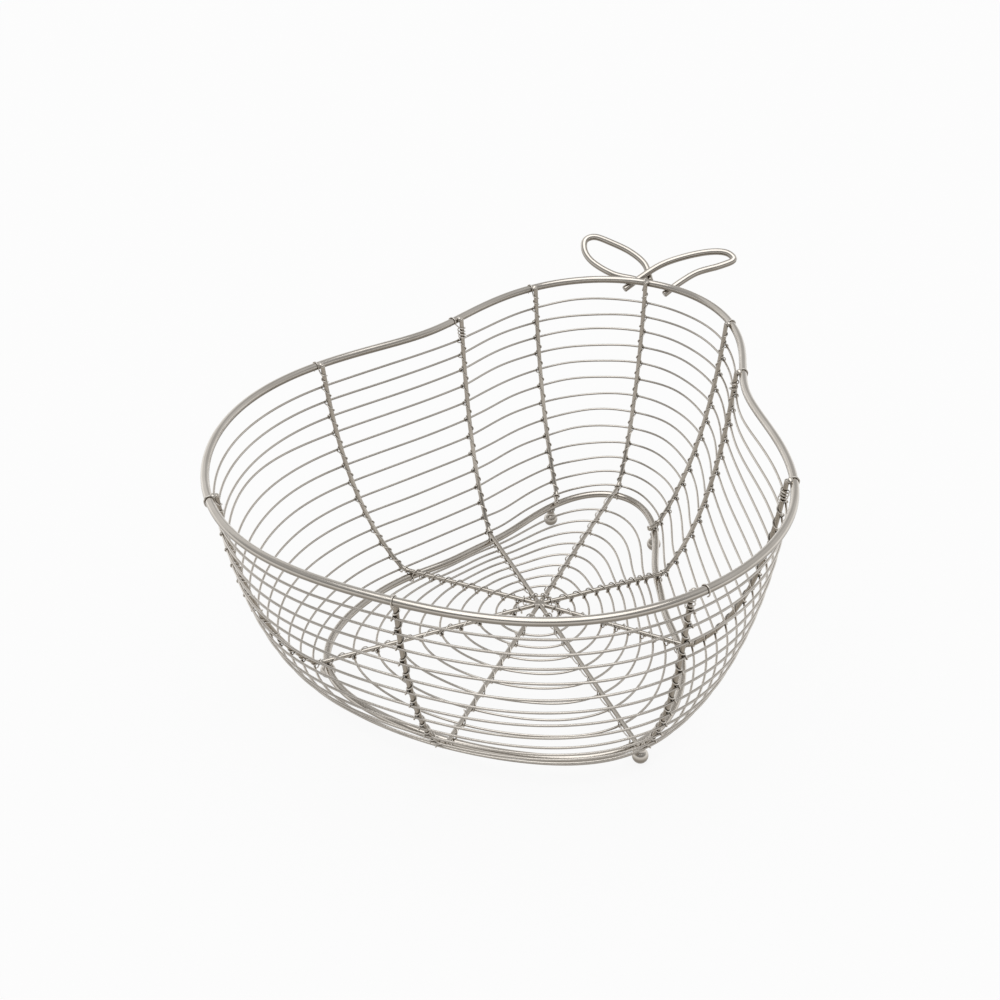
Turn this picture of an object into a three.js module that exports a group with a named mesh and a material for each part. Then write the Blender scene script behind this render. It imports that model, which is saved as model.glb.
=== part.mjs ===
// Pear-shaped wire fruit basket: ribs, rings, rim, base ring, ball feet, leaf loops and binding wires.
// Millimetres, +Z up. The stem end of the pear points along +Y, and the origin is on the surface that
// the feet stand on, under the middle of the basket. Angles run from the stem (+Y) towards +X.

import * as THREE from 'three';

// Wire sizes (diameters) and the clearance that tied or welded wires keep from each other
const RIM_WIRE = 4;
const BASE_WIRE = 4;
const RIB_WIRE = 2.4;
const RING_WIRE = 1.2;
const BINDING_WIRE = 1;
const LEAF_WIRE = 3.8;
const GAP = 0.3;

// Lengths of the mouth and of the floor between the ribs' middles, from the stem to the front. The pear shape
// of each is the reach from the hub for a length of one, in even steps of angle from the stem to the front,
// alike on both sides. The base ring lies inside the floor's outline by an inset at each of those angles.
const MOUTH_LENGTH = 328.1;
const FLOOR_LENGTH = 248.5;
const MOUTH_PEAR = [0.4874, 0.4313, 0.3319, 0.3103, 0.3636, 0.4407, 0.4962, 0.5206, 0.5126];
const FLOOR_PEAR = [0.5171, 0.3924, 0.2978, 0.2837, 0.328, 0.4105, 0.4909, 0.493, 0.4829];
const BASE_INSET = [4.5, 3.2, 3.8, 4, 4.3, 4.7, 5, 5.3, 5.6];

// Wall profile: height of the rim above the floor ribs, and the share of the run and of the height at
// which the curve's control point lies, which makes the wall lean out at the floor and stand up at the rim
const WALL_HEIGHT = 118;
const WALL_PULL_OUT = 0.8;
const WALL_PULL_UP = 0.27;

// Ribs: the bend between wall and floor, the end above the rim's middle or, for a low one, below it, the end
// of an arm at the hub and the tail of a short rib past the bend
const RIB_BEND = 3.5;
const RIB_ABOVE_RIM = 1.5;
const LOW_RIB_BELOW_RIM = 1;
const HUB_CLEARANCE = 4.2;
const SHORT_RIB_TAIL = 9;

// Each rib's angle at the rim and at the floor, in degrees. The short ones end just inside the base ring, and
// the low ones are hidden by the rim, seen from the front.
const RIBS = [
  { name: 'left_belly', rim: -142, floor: -137, short: false, low: false },
  { name: 'left_flank', rim: -91, floor: -89, short: false, low: false },
  { name: 'left_waist', rim: -45.6, floor: -44.5, short: false, low: false },
  { name: 'left_neck', rim: -23.2, floor: -16.5, short: true, low: false },
  { name: 'stem', rim: 0, floor: -0.5, short: false, low: false },
  { name: 'right_neck', rim: 24.5, floor: 18.5, short: true, low: false },
  { name: 'right_waist', rim: 47, floor: 44.5, short: false, low: false },
  { name: 'right_flank', rim: 99.5, floor: 93, short: false, low: false },
  { name: 'right_belly', rim: 136, floor: 135.5, short: false, low: true },
  { name: 'front', rim: 178.7, floor: 179.2, short: false, low: true },
];

// Two arms of the ribs are one straight wire across the hub
const THROUGH_ARMS = ['left_waist', 'right_belly'];

// Wall rings: count, the length of rib above the first and below the last, and how much closer they lie
// at the rim and at the floor than midway
const WALL_RINGS = 13;
const RIM_TO_FIRST_RING = 11.5;
const LAST_RING_TO_FLOOR = 0.8;
const RING_CROWDING = 0.08;

// Floor rings: count, mean reach of the innermost, mean distance of the outermost from the base ring, how far
// they sit towards the front, and how much of the floor's pear shape the outermost has
const FLOOR_RINGS = 9;
const INNER_RING_REACH = 12.5;
const OUTER_RING_INSET = 10.9;
const FLOOR_RING_SHIFT = 3;
const OUTER_RING_PEAR = 0.9;

// Ball feet: diameter, the neck under the base ring, and depth of the flat that they stand on
const FOOT_BALL = 8;
const FOOT_NECK = 4.4;
const FOOT_NECK_RISE = 2;
const FOOT_FLAT = 0.4;
const FEET = [
  { name: 'foot_stem_left', angle: -18.2 },
  { name: 'foot_stem_right', angle: 19 },
  { name: 'foot_front_right', angle: 133.5 },
  { name: 'foot_front_left', angle: -133.5 },
];

// Leaves: slope of the planes in which they rise, the angle beside the stem at which they pass the rim, and
// the points of each, across the stem and up the slope
const LEAF_SLOPE = 35;
const LEAF_ROOT = 4;
const RIGHT_LEAF = [
  [-13.4, -3.9], [-7, 4.7], [2.9, 16.1], [15.2, 24.2], [28.2, 29.8], [38, 31], [43.4, 27.2],
  [36.9, 21.8], [25.2, 15.1], [17.1, 6.5], [10.4, -2.8],
];
const LEFT_LEAF = [
  [-1.4, 7], [-7.6, 17.1], [-18.6, 23.9], [-32.9, 28.4], [-43, 30.2], [-48, 26.6], [-45.5, 19],
  [-37.8, 12.5], [-24.1, 7.3], [-12, 6.4], [-3.6, 5.6],
];

// Facets: sides of each wire's section, steps round the basket in degrees with the least number between two
// ribs, and steps round a turn and along a curve
const THICK_SIDES = 8;
const RIB_SIDES = 6;
const RING_SIDES = 4;
const BINDING_SIDES = 3;
const THICK_ROUND = { stepAngle: 6, leastSteps: 5 };
const RING_ROUND = { stepAngle: 9, leastSteps: 3 };
const FLOOR_RING_STEPS = 24;
const BEND_STEPS = 4;
const WALL_STEPS = 10;
const LEAF_STEPS = 28;
const TURN_STEPS = 6;
const FOOT_STEPS = 12;

// Fine steps for measuring along the wall, the step in angle or height for a slope of its surface, and the
// upward share at which a wire counts as steep
const PROFILE_SAMPLES = 400;
const FINE_WALL_STEPS = 120;
const SLOPE_STEP = 0.001;
const STEEP = 0.8;

// Binding wires: the loop round the rim beside the rib, where the winding starts below the rim, and the turns
// from there to the first ring. The loop lies anticlockwise of the rib, seen from above.
const RIM_LOOP_PITCH = 1.6;
const WINDING_START = 5.5;
const FIRST_TURN = 0.25;

const UP = new THREE.Vector3(0, 0, 1);
const DOWN = new THREE.Vector3(0, 0, -1);
const { lerp, degToRad, clamp } = THREE.MathUtils;

// Seats: distance between the middles of two wires that lie against each other
const seat = (first, second) => (first + second) / 2 + GAP;
const RIM_SEAT = seat(RIB_WIRE, RIM_WIRE);
const BASE_SEAT = seat(RIB_WIRE, BASE_WIRE);
const RING_SEAT = seat(RIB_WIRE, RING_WIRE);
const LEAF_SEAT = seat(RIM_WIRE, LEAF_WIRE);
const LEAF_CROSSING = seat(LEAF_WIRE, LEAF_WIRE);

// A wire with few steps a turn cuts the corner round its core, so it runs a little further out
const windingReach = (core) => (core + BINDING_WIRE) / 2 / Math.cos(Math.PI / TURN_STEPS) + GAP / 2;

// A smooth closed outline through reaches at even steps from the stem to the front, as a cosine series
function outline(reaches) {
  const last = reaches.length - 1;
  const share = (k) => (k === 0 || k === last ? 0.5 : 1);
  const terms = reaches.map((_, k) => {
    const wave = (reach, j) => share(j) * reach * Math.cos((k * j * Math.PI) / last);
    const sum = reaches.reduce((total, reach, j) => total + wave(reach, j), 0);
    return (2 / last) * share(k) * sum;
  });
  const reachAt = (angle) => terms.reduce((sum, term, k) => sum + term * Math.cos(k * angle), 0);
  return { reachAt, mean: terms[0] };
}

const mouth = outline(MOUTH_PEAR.map((share) => share * MOUTH_LENGTH));
const floor = outline(FLOOR_PEAR.map((share) => share * FLOOR_LENGTH));
const base = outline(FLOOR_PEAR.map((share, i) => share * FLOOR_LENGTH - BASE_INSET[i]));

const polar = (reach, angle, z) => new THREE.Vector3(reach * Math.sin(angle), reach * Math.cos(angle), z);
const bow = (t, pull) => 2 * t * (1 - t) * pull + t * t;

// A point on the wall's middle surface: t is 0 at the floor and 1 at the rim
function wallPoint(angle, t) {
  const reach = lerp(floor.reachAt(angle), mouth.reachAt(angle), bow(t, WALL_PULL_OUT));
  return polar(reach, angle, WALL_HEIGHT * bow(t, WALL_PULL_UP));
}

// The outward normal of the wall's surface, and a point set off from it along that normal
function wallNormal(angle, t) {
  const across = wallPoint(angle + SLOPE_STEP, t).sub(wallPoint(angle - SLOPE_STEP, t));
  const upward = wallPoint(angle, t + SLOPE_STEP).sub(wallPoint(angle, t - SLOPE_STEP));
  return upward.cross(across).normalize();
}

function wallOffset(angle, t, distance) {
  return wallPoint(angle, t).addScaledVector(wallNormal(angle, t), distance);
}

// A rib leans from its floor angle to its rim angle and stays on the wall's surface
const ribAngle = (rib, t) => degToRad(lerp(rib.floor, rib.rim, bow(t, WALL_PULL_OUT)));

// Lengths along the wall's mean profile, as values of t, one for each wall ring from the top down
function wallRingSteps() {
  const run = mouth.mean - floor.mean;
  const profile = [];
  for (let i = 0; i <= PROFILE_SAMPLES; i++) {
    const t = i / PROFILE_SAMPLES;
    profile.push(new THREE.Vector2(run * bow(t, WALL_PULL_OUT), WALL_HEIGHT * bow(t, WALL_PULL_UP)));
  }
  const lengths = [0];
  for (let i = 1; i <= PROFILE_SAMPLES; i++) {
    lengths.push(lengths[i - 1] + profile[i].distanceTo(profile[i - 1]));
  }
  const top = lengths[PROFILE_SAMPLES] - RIM_TO_FIRST_RING;
  const steps = [];
  for (let k = 0; k < WALL_RINGS; k++) {
    const share = k / (WALL_RINGS - 1);
    const crowded = share - (RING_CROWDING * Math.sin(2 * Math.PI * share)) / (2 * Math.PI);
    const wanted = lerp(top, LAST_RING_TO_FLOOR, crowded);
    steps.push(lengths.findIndex((length) => length >= wanted) / PROFILE_SAMPLES);
  }
  return steps;
}

const ringSteps = wallRingSteps();

// A round wire swept along points: a ring of corners at each point, square to the way through it
function wire(points, diameter, sides, closed = false) {
  const count = points.length;
  const at = (i) => (closed ? points[(i + count) % count] : points[clamp(i, 0, count - 1)]);
  const position = [];
  const index = [];
  let normal = null;
  points.forEach((point, i) => {
    const arriving = point.clone().sub(at(i - 1)).normalize();
    const leaving = at(i + 1).clone().sub(point).normalize();
    const tangent = arriving.add(leaving).normalize();
    normal ??= Math.abs(tangent.z) < STEEP ? UP.clone() : new THREE.Vector3(1, 0, 0);
    normal.addScaledVector(tangent, -normal.dot(tangent)).normalize();
    const binormal = tangent.clone().cross(normal);
    for (let j = 0; j < sides; j++) {
      const turn = (2 * Math.PI * j) / sides;
      const corner = point.clone().addScaledVector(normal, (diameter / 2) * Math.cos(turn));
      corner.addScaledVector(binormal, (diameter / 2) * Math.sin(turn));
      position.push(...corner.toArray());
    }
  });
  const spans = closed ? count : count - 1;
  for (let i = 0; i < spans; i++) {
    const near = i * sides;
    const far = ((i + 1) % count) * sides;
    for (let j = 0; j < sides; j++) {
      const next = (j + 1) % sides;
      index.push(near + j, near + next, far + next, near + j, far + next, far + j);
    }
  }
  if (!closed) {
    const end = (count - 1) * sides;
    for (let j = 1; j < sides - 1; j++) {
      index.push(0, j + 1, j);
      index.push(end, end + j, end + j + 1);
    }
  }
  const geometry = new THREE.BufferGeometry();
  geometry.setAttribute('position', new THREE.Float32BufferAttribute(position, 3));
  geometry.setIndex(index);
  geometry.computeVertexNormals();
  return geometry;
}

// The path of a rib from its end at the hub, or its tail, along the floor, round the bend and up the wall.
// Each entry has the point and the direction in which the rings lie against the rib.
function ribPath(rib, wallSteps) {
  const angle = degToRad(rib.floor);
  const corner = wallPoint(angle, 0);
  const run = mouth.reachAt(angle) - corner.length();
  const bendTop = RIB_BEND / (2 * Math.hypot(run * WALL_PULL_OUT, WALL_HEIGHT * WALL_PULL_UP));
  const start = rib.short ? corner.length() - SHORT_RIB_TAIL : HUB_CLEARANCE;
  const bendFoot = polar(corner.length() - RIB_BEND, angle, 0);
  const bendHead = wallPoint(ribAngle(rib, bendTop), bendTop);
  const bend = new THREE.QuadraticBezierCurve3(bendFoot, corner, bendHead);
  const headNormal = wallNormal(ribAngle(rib, bendTop), bendTop);
  const path = [{ point: polar(start, angle, 0), out: DOWN.clone() }];
  bend.getPoints(BEND_STEPS).forEach((point, i) => {
    path.push({ point, out: DOWN.clone().lerp(headNormal, i / BEND_STEPS).normalize() });
  });
  for (let i = 1; i <= wallSteps; i++) {
    const t = lerp(bendTop, 1, i / wallSteps);
    path.push({ point: wallPoint(ribAngle(rib, t), t), out: wallNormal(ribAngle(rib, t), t) });
  }
  return path;
}

// The path as points, with the cut end that stands up inside the rim
function ribPoints(rib) {
  const points = ribPath(rib, WALL_STEPS).map((entry) => entry.point);
  const top = points.pop();
  const rise = top.clone().sub(points[points.length - 1]).normalize();
  if (!rib.low) {
    points.push(top);
  }
  points.push(top.clone().addScaledVector(rise, rib.low ? -LOW_RIB_BELOW_RIM : RIB_ABOVE_RIM));
  return points;
}

// Angles round the basket at height t: each rib's own angle and even steps between two ribs
function anglesRound(t, { stepAngle, leastSteps }) {
  const angles = [];
  RIBS.forEach((rib, i) => {
    const from = ribAngle(rib, t);
    const following = ribAngle(RIBS[(i + 1) % RIBS.length], t);
    const to = following > from ? following : following + 2 * Math.PI;
    const steps = Math.max(leastSteps, Math.round((to - from) / degToRad(stepAngle)));
    for (let k = 0; k < steps; k++) {
      angles.push(lerp(from, to, k / steps));
    }
  });
  return angles;
}

// The reach of a floor ring about its own middle, from a near circle at the hub to a pear at the outside
function floorRingReach(ring, angle) {
  const outermost = base.mean - OUTER_RING_INSET;
  const mean = lerp(outermost, INNER_RING_REACH, ring / (FLOOR_RINGS - 1));
  const pear = OUTER_RING_PEAR * (mean / outermost);
  return mean * lerp(1, floor.reachAt(angle) / floor.mean, pear);
}

// Points on the middle of the rim and of the base ring
const rimPoint = (angle) => wallOffset(angle, 1, RIM_SEAT);

function alongRim(angle, distance) {
  const lengthPerAngle = rimPoint(angle + SLOPE_STEP).distanceTo(rimPoint(angle)) / SLOPE_STEP;
  return rimPoint(angle + distance / lengthPerAngle);
}

function basePoint(angle) {
  return polar(base.reachAt(angle), angle, -BASE_SEAT);
}

// The places at which a binding wire crosses a ring on the rib's inner side: the length from the rim, and the
// turns made by then. From the last wall ring to the base ring it runs straight.
function crossings(rib, path, lengths) {
  const total = lengths[lengths.length - 1];
  const nearest = (target) => {
    const gaps = path.map((entry) => entry.point.distanceTo(target));
    return lengths[gaps.indexOf(Math.min(...gaps))];
  };
  const found = ringSteps.map((t, i) => {
    return { length: nearest(wallPoint(ribAngle(rib, t), t)), turns: i + 0.5 };
  });
  if (rib.short) {
    return found;
  }
  const angle = degToRad(rib.floor);
  const lengthAt = (reach) => total - (reach - HUB_CLEARANCE);
  found.push({ length: lengthAt(base.reachAt(angle)), turns: WALL_RINGS - 0.5 });
  for (let ring = 0; ring < FLOOR_RINGS; ring++) {
    const reach = floorRingReach(ring, angle) - FLOOR_RING_SHIFT * Math.cos(angle);
    found.push({ length: lengthAt(reach), turns: WALL_RINGS + ring + 0.5 });
  }
  return found;
}

// A rib's path from the rim down in fine steps, with the length from the rim at each
function finePath(rib) {
  const coarse = ribPath(rib, FINE_WALL_STEPS).reverse();
  const path = [];
  coarse.slice(1).forEach((entry, i) => {
    const before = coarse[i];
    const parts = Math.ceil(before.point.distanceTo(entry.point));
    for (let k = 0; k < parts; k++) {
      const point = before.point.clone().lerp(entry.point, k / parts);
      const out = before.out.clone().lerp(entry.out, k / parts).normalize();
      path.push({ point, out });
    }
  });
  path.push(coarse[coarse.length - 1]);
  const lengths = [0];
  for (let i = 1; i < path.length; i++) {
    lengths.push(lengths[i - 1] + path[i].point.distanceTo(path[i - 1].point));
  }
  return { path, lengths };
}

// The binding wire of one rib: a loop round the rim beside the rib, then a winding down the rib with one
// turn from ring to ring, which lies inside the rib at each ring and outside it between two rings
function bindingPoints(rib) {
  const { path, lengths } = finePath(rib);
  const reach = windingReach(RIB_WIRE);
  const rimAngle = degToRad(rib.rim);
  const outward = wallNormal(rimAngle, 1).setZ(0).normalize();
  const loopReach = windingReach(RIM_WIRE) + GAP / 2;
  const points = [];
  for (let k = 0; k < TURN_STEPS; k++) {
    const turn = (2 * Math.PI * k) / TURN_STEPS;
    const point = alongRim(rimAngle, -reach - RIM_LOOP_PITCH * (1 - k / TURN_STEPS));
    point.addScaledVector(outward, -loopReach * Math.cos(turn));
    point.addScaledVector(UP, loopReach * Math.sin(turn));
    points.push(point);
  }
  const wind = (length, turns) => {
    const place = clamp(lengths.findIndex((value) => value >= length), 1, path.length - 2);
    const { point, out } = path[place];
    const along = path[place + 1].point.clone().sub(path[place - 1].point).normalize();
    const outer = out.clone().addScaledVector(along, -out.dot(along)).normalize();
    const side = outer.clone().cross(along);
    const swing = 2 * Math.PI * turns;
    const wound = point.clone().addScaledVector(outer, reach * Math.cos(swing));
    points.push(wound.addScaledVector(side, reach * Math.sin(swing)));
  };
  let before = { length: WINDING_START, turns: FIRST_TURN };
  wind(before.length, before.turns);
  crossings(rib, path, lengths).forEach((crossing) => {
    const steps = Math.max(1, Math.round((crossing.turns - before.turns) * TURN_STEPS));
    for (let k = 1; k <= steps; k++) {
      wind(lerp(before.length, crossing.length, k / steps), lerp(before.turns, crossing.turns, k / steps));
    }
    before = crossing;
  });
  return points;
}

// The least gap of a wound wire to itself, between points that lie at least half a turn apart
function leastGap(points, diameter) {
  let least = Infinity;
  for (let i = 0; i < points.length; i++) {
    for (let j = i + TURN_STEPS / 2; j < points.length; j++) {
      least = Math.min(least, points[i].distanceTo(points[j]) - diameter);
    }
  }
  return least;
}

// A leaf: one bent wire in a sloping plane that passes a set distance below the rim at the stem
function leafCurve(outlinePoints, below) {
  const slope = degToRad(LEAF_SLOPE);
  const upSlope = new THREE.Vector3(0, Math.cos(slope), Math.sin(slope));
  const square = new THREE.Vector3(0, Math.sin(slope), -Math.cos(slope));
  const origin = rimPoint(degToRad(LEAF_ROOT)).setX(0).addScaledVector(square, below);
  const points = outlinePoints.map(([across, up]) => {
    return origin.clone().addScaledVector(upSlope, up).add(new THREE.Vector3(across, 0, 0));
  });
  return new THREE.CatmullRomCurve3(points, false, 'centripetal');
}

// A ball foot with a short neck and a flat to stand on, turned about its own axis
function footGeometry() {
  const radius = FOOT_BALL / 2;
  const low = Math.asin(-(radius - FOOT_FLAT) / radius);
  const high = Math.acos(FOOT_NECK / FOOT_BALL);
  const profile = [new THREE.Vector2(0, -(radius - FOOT_FLAT))];
  for (let i = 0; i <= FOOT_STEPS / 2; i++) {
    const rise = lerp(low, high, i / (FOOT_STEPS / 2));
    profile.push(new THREE.Vector2(radius * Math.cos(rise), radius * Math.sin(rise)));
  }
  profile.push(new THREE.Vector2(FOOT_NECK / 2, radius + FOOT_NECK_RISE));
  profile.push(new THREE.Vector2(0, radius + FOOT_NECK_RISE));
  return new THREE.LatheGeometry(profile, FOOT_STEPS).rotateX(Math.PI / 2);
}

// Satin nickel-plated steel, a little duller on the thin wires
const satinNickel = (color, roughness) => new THREE.MeshStandardMaterial({ color, roughness, metalness: 1 });
const thickNickel = satinNickel(0xbdb6ac, 0.34);
const ribNickel = satinNickel(0xb7b0a6, 0.36);
const ringNickel = satinNickel(0xaea79d, 0.38);
const bindingNickel = satinNickel(0xa29b92, 0.4);

const basket = new THREE.Group();

function addPiece(name, geometry, material) {
  const mesh = new THREE.Mesh(geometry, material);
  mesh.name = name;
  basket.add(mesh);
  return mesh;
}

// Rim, lying against the outside of the ribs
const rimPoints = anglesRound(1, THICK_ROUND).map(rimPoint);
addPiece('rim_ring', wire(rimPoints, RIM_WIRE, THICK_SIDES, true), thickNickel);

// Base ring, under the ribs just inside the bend
const basePoints = anglesRound(0, THICK_ROUND).map(basePoint);
addPiece('base_ring', wire(basePoints, BASE_WIRE, THICK_SIDES, true), thickNickel);

// Feet, seated under the base ring
const footMiddle = -BASE_SEAT - BASE_WIRE / 2 - GAP - FOOT_NECK_RISE - FOOT_BALL / 2;
FEET.forEach((foot) => {
  const mesh = addPiece(foot.name, footGeometry(), thickNickel);
  mesh.position.copy(basePoint(degToRad(foot.angle))).setZ(footMiddle);
});

// Ribs: one wire through the hub, the other arms up to it, and the short ribs beside the stem
const arm = (name) => ribPoints(RIBS.find((rib) => rib.name === name));
const throughPoints = [...arm(THROUGH_ARMS[0]).reverse(), ...arm(THROUGH_ARMS[1])];
addPiece(`rib_${THROUGH_ARMS.join('_to_')}`, wire(throughPoints, RIB_WIRE, RIB_SIDES), ribNickel);
RIBS.filter((rib) => !THROUGH_ARMS.includes(rib.name)).forEach((rib) => {
  addPiece(`rib_${rib.name}`, wire(ribPoints(rib), RIB_WIRE, RIB_SIDES), ribNickel);
});

// Wall rings, round the outside of the ribs, numbered from the rim down
ringSteps.forEach((t, i) => {
  const points = anglesRound(t, RING_ROUND).map((angle) => wallOffset(angle, t, RING_SEAT));
  addPiece(`wall_ring_${i + 1}`, wire(points, RING_WIRE, RING_SIDES, true), ringNickel);
});

// Floor rings, under the ribs, numbered from the outside in
for (let ring = 0; ring < FLOOR_RINGS; ring++) {
  const points = [];
  for (let k = 0; k < FLOOR_RING_STEPS; k++) {
    const angle = (2 * Math.PI * k) / FLOOR_RING_STEPS;
    const point = polar(floorRingReach(ring, angle), angle, -RING_SEAT);
    points.push(point.setY(point.y - FLOOR_RING_SHIFT));
  }
  addPiece(`floor_ring_${ring + 1}`, wire(points, RING_WIRE, RING_SIDES, true), ringNickel);
}

// Binding wires, one wound along each rib
const gaps = RIBS.map((rib) => {
  const points = bindingPoints(rib);
  addPiece(`binding_${rib.name}`, wire(points, BINDING_WIRE, BINDING_SIDES), bindingNickel);
  return leastGap(points, BINDING_WIRE);
});
console.log(`least gap of a binding wire to itself: ${Math.min(...gaps).toFixed(2)} mm`);

// Leaves: the right one passes under the rim, and the left one under the right
const leaf = (points, below) => leafCurve(points, below).getSpacedPoints(LEAF_STEPS);
addPiece('leaf_right', wire(leaf(RIGHT_LEAF, LEAF_SEAT), LEAF_WIRE, THICK_SIDES), thickNickel);
addPiece('leaf_left', wire(leaf(LEFT_LEAF, LEAF_SEAT + LEAF_CROSSING), LEAF_WIRE, THICK_SIDES), thickNickel);

// Stand the basket on the origin, under the middle of its box
const box = new THREE.Box3().setFromObject(basket);
const middle = box.getCenter(new THREE.Vector3());
basket.position.set(-middle.x, -middle.y, -box.min.z);

export default basket;
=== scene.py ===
"""Looks of the pear-shaped wire fruit basket: drawn wires, ties, welds and ball feet in satin nickel."""

import math

import bpy
import numpy as np
from mathutils import Matrix, Vector


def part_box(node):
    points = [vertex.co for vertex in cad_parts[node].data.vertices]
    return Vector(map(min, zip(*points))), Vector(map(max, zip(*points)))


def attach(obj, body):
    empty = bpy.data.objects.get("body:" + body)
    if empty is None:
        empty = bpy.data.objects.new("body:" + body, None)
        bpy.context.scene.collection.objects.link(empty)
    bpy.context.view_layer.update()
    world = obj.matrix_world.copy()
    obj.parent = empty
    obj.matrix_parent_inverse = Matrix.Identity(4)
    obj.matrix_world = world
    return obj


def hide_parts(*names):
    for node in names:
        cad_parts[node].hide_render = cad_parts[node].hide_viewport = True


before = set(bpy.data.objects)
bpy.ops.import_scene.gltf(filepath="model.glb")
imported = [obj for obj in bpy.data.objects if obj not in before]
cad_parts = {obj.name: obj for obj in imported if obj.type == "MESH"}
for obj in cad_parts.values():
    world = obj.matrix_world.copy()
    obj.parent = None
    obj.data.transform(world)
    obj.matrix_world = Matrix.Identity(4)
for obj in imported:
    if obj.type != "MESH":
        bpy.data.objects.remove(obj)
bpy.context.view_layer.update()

# Sizes in millimetres about the hub, as in the part's source. Here the binding wire is thinner, the rings and the
# windings lie closer to the ribs, and the ribs run on into the weld at the hub.
RIM_WIRE = 4.0
BASE_WIRE = 4.0
RIB_WIRE = 2.4
RING_WIRE = 1.2
BINDING_WIRE = 0.66
LEAF_WIRE = 3.8
GAP = 0.3
RING_GAP = 0.05
WINDING_GAP = 0.02

# Pear outlines of the mouth and the floor: the reach from the hub in even steps from the stem to the front, as shares
# of a length. The base ring lies inside the floor's outline.
MOUTH_LENGTH = 328.1
FLOOR_LENGTH = 248.5
MOUTH_PEAR = np.array([0.4874, 0.4313, 0.3319, 0.3103, 0.3636, 0.4407, 0.4962, 0.5206, 0.5126])
FLOOR_PEAR = np.array([0.5171, 0.3924, 0.2978, 0.2837, 0.328, 0.4105, 0.4909, 0.493, 0.4829])
BASE_INSET = np.array([4.5, 3.2, 3.8, 4, 4.3, 4.7, 5, 5.3, 5.6])

# Profile of the wall, and the ribs' bend and ends
WALL_HEIGHT = 118.0
WALL_PULL_OUT = 0.8
WALL_PULL_UP = 0.27
RIB_BEND = 3.5
RIB_ABOVE_RIM = 1.5
LOW_RIB_BELOW_RIM = 1.0
HUB_END = 2.0
SHORT_RIB_TAIL = 9.0

# Rib: angle at the rim and at the floor, and the side of its binding wire's loops on the wall and on the floor, which
# is 0 for a short rib. Angles are in degrees from the stem to the right.
RIBS = {
    "left_belly": (-142, -137, -1, -1),
    "left_flank": (-91, -89, -1, -1),
    "left_waist": (-45.6, -44.5, -1, -1),
    "left_neck": (-23.2, -16.5, -1, 0),
    "stem": (0, -0.5, 1, 1),
    "right_neck": (24.5, 18.5, 1, 0),
    "right_waist": (47, 44.5, 1, 1),
    "right_flank": (99.5, 93, -1, 1),
    "right_belly": (136, 135.5, -1, 1),
    "front": (178.7, 179.2, 1, -1),
}
THROUGH_ARMS = ("left_waist", "right_belly")
LOW_RIBS = ("right_belly", "front")

# Loops of binding wire over the rim: the angle of the free end and how far round they go in degrees, how far the end
# stands off, how fast it closes in, how far the loop leans, and the distance from the rib, usual and other
TIE_START = -75
TIE_SWEEP = 280
TIE_STAND_OFF = 0.9
TIE_CLOSING = 5
TIE_LEAN = 0.7
TIE_OFFSET = 1.3
OTHER_TIES = {"left_flank": 1.6, "left_waist": 3.4, "right_belly": 4.3, "front": 0.9}

# Windings: their start below the rim, the close turns there where they are more than one, the least turn from ring to
# ring in degrees, the share of the way that its first half takes, and the room beside a ring as a share of the hold
WINDING_START = 3.6
CLOSE_TURNS = {"left_waist": 3, "right_flank": 3, "right_belly": 2, "right_waist": 2}
LEAST_TURN = 100
FIRST_HALF_SHARE = 0.7
RING_ROOM = 1.1

# How far windings stand off the rib: close turns with a mean, an unevenness and its pace in radians, then on the floor
# those of the rib through the hub, and those of the others with their spread
CLOSE_STAND_OFF = (0.45, 0.35, 7)
THROUGH_STAND_OFF = 0.85
FLOOR_STAND_OFF = (0.6, 0.16)

# Loops of binding wire over a ring in degrees, and how far they lean. The wire's free end: its length, its distance
# from the rib's end, how far it turns in degrees and how far it stands off.
LOOP_START = -140
LOOP_SWEEP = 280
LOOP_LEAN = 0.6
FREE_END = 3.5
FREE_END_MARGIN = 0.4
LONG_END = (460, 1.0)
SHORT_END = (260, 0.15)

# Rings: on the wall from the rim down, and on the floor from the base ring to the hub
WALL_RINGS = 13
RIM_TO_FIRST_RING = 11.5
LAST_RING_TO_FLOOR = 0.8
RING_CROWDING = 0.08
FLOOR_RINGS = 9
INNER_RING_REACH = 12.5
OUTER_RING_INSET = 10.9
FLOOR_RING_SHIFT = 3.0
OUTER_RING_PEAR = 0.9

# Rings are bent by hand: how far they wander midway between two ribs, and one that goes well up its first span,
# which is the one from the left belly to the left flank
WALL_RING_WANDER = 0.55
FLOOR_RING_WANDER = 0.4
FLOOR_RING_SEED = 50
MOST_WANDER = 1.4
BENT_RINGS = {4: 3.0}

# Spans at the waist where the wall rings are drawn towards a straight line between the ribs, how far, and from
# which ring on fully. The rings above that one are drawn less, and by this share less again.
STRAIGHT_SPANS = {("left_flank", "left_waist"): (0.7, 1), ("right_waist", "right_flank"): (0.7, 4)}
LESS_STRAIGHT = 0.25

# Feet: the flat in shares of its reach, the gaps in radians between the ball's arc and the flat and the neck, the
# waist in shares of the neck's reach and of the ball's, and the collar in shares of the neck's reach and lengths below
# the foot's top
FOOT_BALL = 8.0
FOOT_NECK = 4.4
FOOT_NECK_RISE = 2.0
FOOT_FLAT = 0.4
FLAT_SHARES = (0, 0.6, 0.96)
ARC_GAPS = (0.03, 0.07)
FOOT_WAIST = [(1.02, 0.93), (0.94, 1.02), (0.92, 1.15)]
FOOT_COLLAR = [(0.95, 0.9), (1.05, 0.3), (1.16, -0.25), (0, -0.5)]
FEET = {
    "foot_stem_left": -18.2,
    "foot_stem_right": 19.0,
    "foot_front_right": 133.5,
    "foot_front_left": -133.5,
}

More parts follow.
